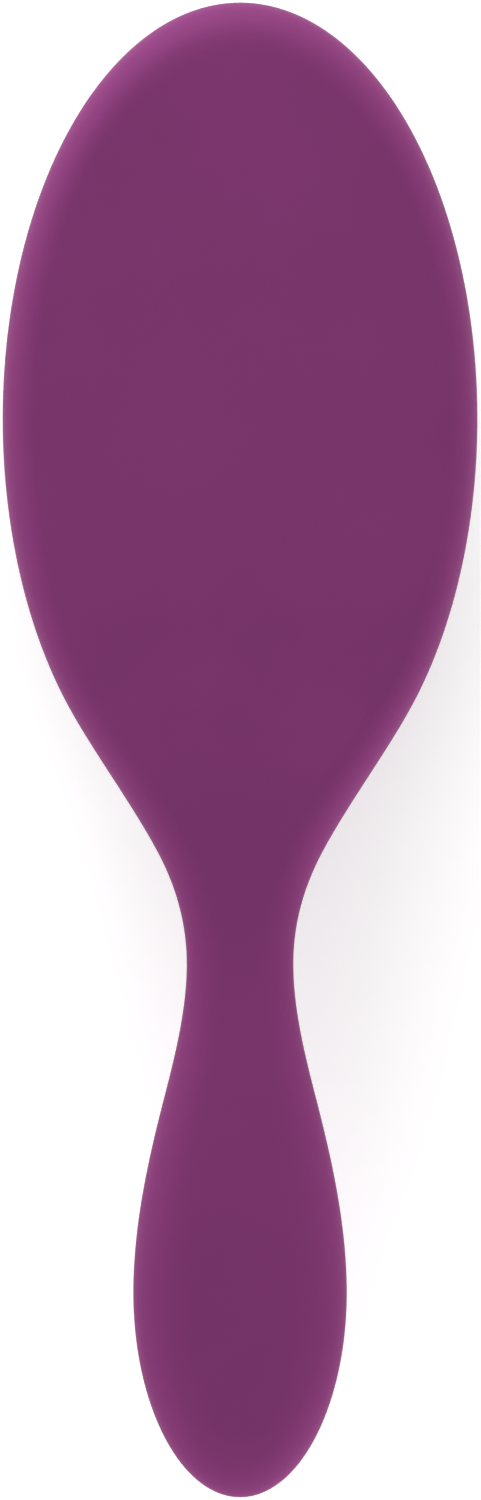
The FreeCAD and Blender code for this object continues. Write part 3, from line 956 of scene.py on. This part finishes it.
@dataclass
class Cushion:
    """Crowned rubber cushion: flange, wall, membrane with a vent, and a small collar round each bristle.

    Attributes:
        form: Outer form of the body.
        apex_z: Lowest place of the cushion's face, from the frame.
        flange_top: Upper face of the clamped flange, from the frame.
        flange: Thickness of the flange.
        rise: Crown of the face over the opening.
        flange_width: Flange past the opening.
        clearance: Gap between the cushion and the opening.
        edge_round: Rounding of the face's edge.
        edge_rows: Rows of faces over that rounding.
        membrane: Thickness of the face.
        wall: Thickness of the side wall.
        vent_radius: Radius of the vent.
        vent_along: Place of the vent along the head, from its middle.
        collar: Radius at the foot, radius at the top and height of the collar round each bristle.
        collar_sink: How far the collar's middle lies out of the face.
        collar_sides: Sides of a collar.
        sectors: Steps round the cushion.
        rings: Rows of faces over the crown.
        press_keep: Share of the crown's depth left when the cushion is pressed in fully. Not used.
        sharp_degrees: Edges that turn by more than this stay sharp.
    """

    form: BrushForm
    apex_z: float
    flange_top: float
    flange: float = 1.5 * MM
    rise: float = 3.0 * MM
    flange_width: float = 2.3 * MM
    clearance: float = 0.3 * MM
    edge_round: float = 0.9 * MM
    edge_rows: int = 6
    membrane: float = 1.4 * MM
    wall: float = 1.6 * MM
    vent_radius: float = 0.8 * MM
    vent_along: float = 3.1 * MM
    collar: tuple[float, float, float] = (1.3 * MM, 0.86 * MM, 0.4 * MM)
    collar_sink: float = 0.1 * MM
    collar_sides: int = 12
    sectors: int = 96
    rings: int = 30
    press_keep: float = 0.47
    sharp_degrees: float = 50.0

    @classmethod
    def from_frame(cls, form: BrushForm) -> Cushion:
        """Read the face's lowest place and the flange's top from the CAD pad's box."""
        low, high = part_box("cushion_pad")
        return cls(form, low.z, high.z)

    @property
    def flange_low(self) -> float:
        """Lower face of the flange."""
        return self.flange_top - self.flange

    def face_z(self, x: float, y: float) -> float:
        """Height of the crowned face."""
        half = self.form.opening
        return self.apex_z + self.rise * ((x / half.x) ** 2 + ((y - self.form.head_y) / half.y) ** 2)

    def outward(self, x: float, y: float) -> Vector:
        """Direction square to the crowned face, away from the brush.

        Args:
            x: Place across the brush.
            y: Place along it.

        Returns:
            A direction of length 1.
        """
        half = self.form.opening
        slope_x = 2 * self.rise * x / half.x ** 2
        slope_y = 2 * self.rise * (y - self.form.head_y) / half.y ** 2
        return Vector((slope_x, slope_y, -1)).normalized()

    @property
    def turns(self) -> list[float]:
        """Angles of the steps round the cushion."""
        return [2 * math.pi * i / self.sectors for i in range(self.sectors)]

    def oval(self, outset: float, z: float) -> list[Vector]:
        """Loop at a distance outside the opening, at one height."""
        return self.form.opening_loop(outset, z, self.turns)

    def crown_ring(self, share: float, inset: float, lift: float) -> list[Vector]:
        """Loop on the crowned face, between the vent and the cushion's edge.

        Args:
            share: 0 at the vent and 1 at the edge.
            inset: How far the edge lies inside the opening.
            lift: Height over the outer face.

        Returns:
            Places of the loop.
        """
        past_vent = self.form.opening.grown(-inset - self.vent_radius)
        half_x = self.vent_radius + past_vent.x * share
        half_y = self.vent_radius + past_vent.y * share
        centre_y = self.form.head_y + self.vent_along * (1 - share)
        places = []
        for turn in self.turns:
            x, y = half_x * math.cos(turn), centre_y + half_y * math.sin(turn)
            places.append(Vector((x, y, self.face_z(x, y) + lift)))
        return places

    def loops(self) -> list[list[Vector]]:
        """Loops of the whole closed cushion.

        Returns:
            Loops from the flange over the face, through the vent and back along the inside.
        """
        low, high = self.flange_low, self.flange_top
        edge_z = self.apex_z + self.rise
        loops = [
            self.oval(self.flange_width, high),
            self.oval(self.flange_width, low),
            self.oval(-self.clearance, low),
            self.oval(-self.clearance, edge_z + self.edge_round),
        ]
        for turn in quarter_turns(self.edge_rows)[:-1]:
            inset = self.clearance + self.edge_round * (1 - math.cos(turn))
            lift = self.edge_round * (1 - math.sin(turn))
            flat = self.oval(-inset, edge_z)
            loops.append([Vector((p.x, p.y, self.face_z(p.x, p.y) + lift)) for p in flat])
        inset = self.clearance + self.edge_round
        shares = [1 - i / self.rings for i in range(self.rings + 1)]
        loops += [self.crown_ring(share, inset, 0.0) for share in shares]
        inner = self.clearance + self.wall
        loops += [self.crown_ring(share, inner, self.membrane) for share in reversed(shares)]
        loops.append(self.oval(-inner, high))
        return loops

    def add_collars(self, bm: bmesh.types.BMesh, places: Sequence[tuple[Vector, Vector]]) -> None:
        """Add a low moulded collar round each bristle.

        Args:
            bm: Mesh of the cushion.
            places: Root and outward direction of each bristle.
        """
        foot, top, height = self.collar
        for root, outward in places:
            turn = Vector((0, 0, 1)).rotation_difference(outward).to_matrix().to_4x4()
            bmesh.ops.create_cone(
                bm, cap_ends=True, segments=self.collar_sides, radius1=foot, radius2=top, depth=height,
                matrix=Matrix.Translation(root + outward * self.collar_sink) @ turn)

    def build(self, places: Sequence[tuple[Vector, Vector]]) -> bpy.types.Object:
        """Build the cushion's mesh.

        Args:
            places: Root and outward direction of each bristle.

        Returns:
            The cushion as an object.
        """
        bm = bmesh.new()
        loops = self.loops()
        line = start = first_loop(bm, loops[0])
        for loop in loops[1:]:
            line = extend(bm, line, loop, closed=True)
        ends = [bm.edges.get((a, b)) for ring in (start, line) for a, b in zip(ring, ring[1:] + ring[:1])]
        bmesh.ops.bridge_loops(bm, edges=ends)
        bmesh.ops.recalc_face_normals(bm, faces=bm.faces[:])
        self.add_collars(bm, places)
        return finish_piece(bm, "cushion_rubber", self.sharp_degrees)

    def dress(self, piece: bpy.types.Object, finish: MouldedFinish) -> None:
        """Give the cushion its finish, its place in the frame and a mesh of its own.

        Args:
            piece: The cushion's object.
            finish: Finish of the cushion.
        """
        piece.data.materials.append(finish.build())
        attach(piece, "handle")
        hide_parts("cushion_pad")
        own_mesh(piece)


@dataclass
class BristleField:
    """Rows of bristles: places that the collars follow, and the finishes of the CAD bristles and tips.

    Attributes:
        cushion: Cushion that the bristles stand in.
        joints: Joints of the frame, whose hinges lie under the rows.
        step: Distance between bristles in a row.
        patch: Oval that the bristles fill.
        stagger_share: Shift of every second row, as a share of the step.
    """

    cushion: Cushion
    joints: Sequence[dict[str, Any]]
    step: float = 6.2 * MM
    patch: Oval = Oval(24.5 * MM, 51.4 * MM)
    stagger_share: float = 0.5

    def places(self) -> list[tuple[Vector, Vector]]:
        """Root and outward direction of each bristle.

        Returns:
            One pair for each bristle.
        """
        rows = sorted(j["pos_m"][0] for j in self.joints if j["type"] == "hinge")
        middle = len(rows) // 2
        found = []
        for number, x in enumerate(rows):
            shift = self.stagger_share * ((number - middle) % 2)
            limit = self.patch.y * math.sqrt(1 - (x / self.patch.x) ** 2)
            reach = int(limit / self.step) + 1
            for i in range(-reach - 1, reach + 1):
                along = (i + shift) * self.step
                if abs(along) < limit:
                    y = self.cushion.form.head_y + along
                    root = Vector((x, y, self.cushion.face_z(x, y)))
                    found.append((root, self.cushion.outward(x, y)))
        return found

    def dress(self, nodes: dict[str, bpy.types.Object], shaft: MouldedFinish, tip: MouldedFinish) -> int:
        """Give the CAD bristles and tips their finishes.

        Args:
            nodes: CAD nodes by name.
            shaft: Finish of the bristles.
            tip: Finish of the tips.

        Returns:
            Number of nodes dressed.
        """
        finishes = {"bristle_row_": shaft.build(), "tip_row_": tip.build()}
        dressed = 0
        for name, node in nodes.items():
            for prefix, material in finishes.items():
                if name.startswith(prefix):
                    dress_node(node, material)
                    dressed += 1
        return dressed


def dress_node(node: bpy.types.Object, material: bpy.types.Material) -> None:
    """Give a CAD node one material in place of its own."""
    node.data.materials.clear()
    node.data.materials.append(material)


@dataclass(frozen=True)
class Lamp:
    """Soft lamp: a large panel that looks at the brush.

    Attributes:
        name: Name of the lamp.
        place: Where it stands, in metres.
        size: Width and height of its panel.
        power: Power in watts.
        reach: Whether its light falls on the brush, or gloss reflects its panel.
    """

    name: str
    place: tuple[float, float, float]
    size: tuple[float, float]
    power: float
    reach: Reach = Reach.LIGHT

    def build(self, target: Vector) -> bpy.types.Object:
        """Build the lamp and aim it.

        Args:
            target: Place that it looks at.

        Returns:
            The lamp's object.
        """
        data = bpy.data.lights.new(self.name, "AREA")
        data.shape = "RECTANGLE"
        data.size, data.size_y = self.size
        data.energy = self.power
        lamp = bpy.data.objects.new(self.name, data)
        lamp.location = self.place
        lamp.visible_diffuse, lamp.visible_glossy = self.reach.value
        lamp.rotation_euler = (target - lamp.location).to_track_quat("-Z", "Y").to_euler()
        bpy.context.scene.collection.objects.link(lamp)
        return lamp


@dataclass
class Studio:
    """Pale floor, soft lamps, world and the camera that looks square down on the back.

    Attributes:
        form: Outer form of the body.
        image: Width and height of the picture in pixels.
        millimetres_per_pixel: Scale of the picture at the parting plane.
        lens: Focal length in millimetres.
        sensor: Sensor's long side in millimetres.
        off_centre: How far the brush lies left of the picture's middle.
        floor_half: Half side of the floor in metres.
        floor_cells: Cells along each side of the floor.
        world_strength: Strength of the even light from all round.
        lamps: Soft lamps round the brush.
    """

    form: BrushForm
    image: tuple[int, int] = (481, 1500)
    millimetres_per_pixel: float = 0.1506
    lens: float = 135.0
    sensor: float = 36.0
    off_centre: float = 0.07 * MM
    floor_half: float = 0.6
    floor_cells: int = 4
    world_strength: float = 0.43
    lamps: tuple[Lamp, ...] = (
        Lamp("lamp_head_side", (-0.2, 0.9, 0.36), (0.9, 0.5), 9.8),
        Lamp("lamp_head_gloss", (-0.2, 0.9, 0.12), (0.9, 0.2), 5.0, Reach.GLOSS),
        Lamp("lamp_left", (-0.9, -0.2, 0.2), (1.0, 0.3), 3.3),
        Lamp("lamp_right", (0.9, -0.2, 0.2), (1.0, 0.3), 4.5),
        Lamp("lamp_grip_side", (0.0, -1.0, 0.2), (0.7, 0.3), 5.4),
    )

    def build_camera(self) -> None:
        """Put the camera straight above the brush, head up in the picture."""
        data = bpy.data.cameras.new("camera_above_back")
        data.lens = self.lens
        data.sensor_width = self.sensor
        data.sensor_fit = "AUTO"
        height = self.image[1] * self.millimetres_per_pixel * MM
        distance = height * self.lens / self.sensor
        camera = bpy.data.objects.new("camera_above_back", data)
        camera.location = (self.off_centre, 0.0, self.form.parting_z + distance)
        camera.rotation_euler = (0.0, 0.0, 0.0)
        bpy.context.scene.collection.objects.link(camera)
        bpy.context.scene.camera = camera

    def build_floor(self, finish: FloorFinish) -> bpy.types.Object:
        """Lay the floor under the bristle tips.

        Args:
            finish: Finish of the floor.

        Returns:
            The floor's object.
        """
        bm = bmesh.new()
        cells = self.floor_cells
        bmesh.ops.create_grid(bm, x_segments=cells, y_segments=cells, size=self.floor_half)
        floor = finish_piece(bm, "floor")
        floor.data.materials.append(finish.build())
        return floor

    def build_world(self) -> None:
        """Light the scene evenly from all round, and show white behind the floor."""
        world = bpy.data.worlds.new("studio")
        bpy.context.scene.world = world
        world.use_nodes = True
        tree = world.node_tree
        tree.nodes.clear()
        even = add_node(tree, "ShaderNodeBackground", inputs={
            "Color": WHITE, "Strength": self.world_strength})
        white = add_node(tree, "ShaderNodeBackground", inputs={"Color": WHITE, "Strength": 1.0})
        shown = add_node(tree, "ShaderNodeMixShader", inputs={
            0: seen_directly(tree), 1: even.outputs[0], 2: white.outputs[0]})
        add_node(tree, "ShaderNodeOutputWorld", inputs={"Surface": shown.outputs[0]})

    def build(self) -> None:
        """Build the camera, lamps, world and floor."""
        bpy.context.scene.view_settings.view_transform = "Standard"
        self.build_camera()
        self.build_world()
        self.build_floor(FloorFinish())
        for lamp in self.lamps:
            lamp.build(Vector((0.0, 0.0, self.form.parting_z)))


def report(step: str, make: Callable[[], Made]) -> Made:
    """Run one step and log it.

    Args:
        step: What is made.
        make: Makes it.

    Returns:
        What the step made.
    """
    made = make()
    LOG.info("%s done", step)
    return made


def main() -> None:
    """Load the frame and build the looks in order."""
    logging.basicConfig(level=logging.INFO, format="%(name)s: %(message)s")
    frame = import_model()
    form = BrushForm.from_frame()
    report("studio", Studio(form).build)

    for side in Side:
        shell = Shell(form, side)
        shell.dress(report(f"{side.name.lower()} shell", shell.build), SOFT_TOUCH)

    cushion = Cushion.from_frame(form)
    bristles = BristleField(cushion, frame["joints"])
    places = bristles.places()
    cushion.dress(report("cushion", lambda: cushion.build(places)), CUSHION_RUBBER)
    dressed = bristles.dress(frame["nodes"], BRISTLE_NYLON, TIP_RESIN)
    LOG.info("%d bristles in %d nodes done", len(places), dressed)
    dress_node(frame["nodes"]["cushion_tray"], TRAY_PLASTIC.build())


if __name__ == "__main__":
    main()
